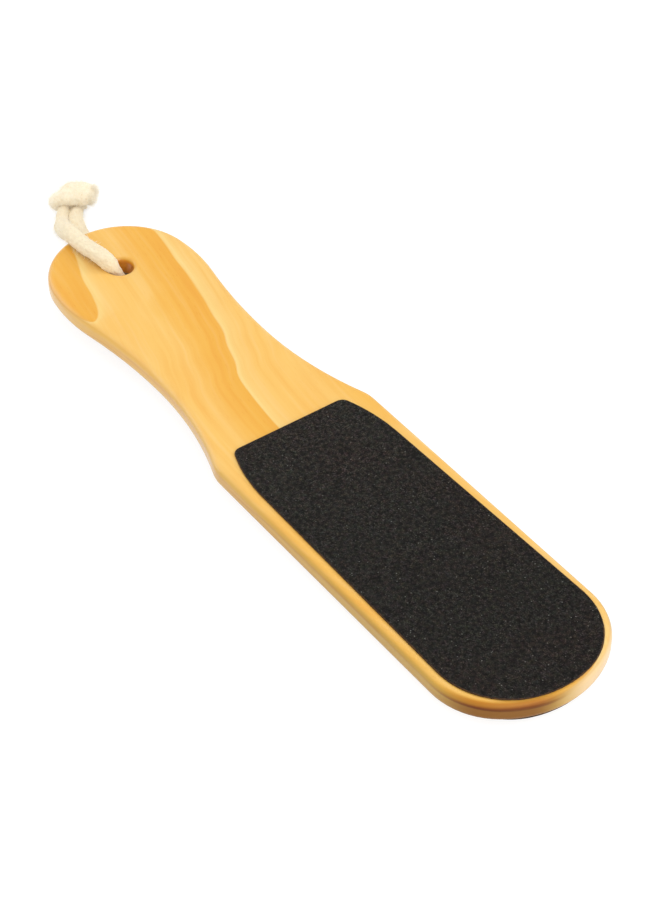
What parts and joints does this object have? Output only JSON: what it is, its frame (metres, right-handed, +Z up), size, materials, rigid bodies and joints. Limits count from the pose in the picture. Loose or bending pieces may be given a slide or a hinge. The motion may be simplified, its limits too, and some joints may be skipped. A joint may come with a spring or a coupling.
{
  "type": "foot file",
  "caption": "Paddle-shaped wooden foot file with an abrasive sheet on each face of its blade and a knotted cotton hanging loop through its handle.",
  "frame": {"origin": "on the table plane, under the middle of the paddle", "axes": "+X towards the blade tip, +Z up from the table, +Y completes the frame; the paddle leans 1.3 degrees because the cord lifts its handle"},
  "size_m": [0.2969, 0.0598, 0.0202],
  "materials": {
    "pine_wood": "clear satin lacquer over pine",
    "adhesive_film": "clear pressure-sensitive film",
    "backing_paper": "latex-impregnated paper",
    "coarse_grit": "coarse silicon carbide grain in resin",
    "fine_grit": "fine silicon carbide grain in resin",
    "cotton_cord": "undyed soft-laid cotton"
  },
  "bodies": {
    "file_body": {"paddle": "pine_wood", "front_adhesive_film": "adhesive_film", "front_backing_sheet": "backing_paper", "front_grit_coat": "coarse_grit", "rear_adhesive_film": "adhesive_film", "rear_backing_sheet": "backing_paper", "rear_grit_coat": "fine_grit"},
    "hanging_loop": {"cord_front_leg": "cotton_cord", "cord_rear_leg": "cotton_cord", "cord_knot": "cotton_cord", "frayed_tail_near": "cotton_cord", "frayed_tail_far": "cotton_cord"}
  },
  "joints": [
    {"name": "loop_swing", "type": "hinge", "parent": "file_body", "child": "hanging_loop", "pos_m": [-0.10647, 0, 0.00975], "axis": [0, 0, 1], "range_deg": [-90, 90]}
  ]
}
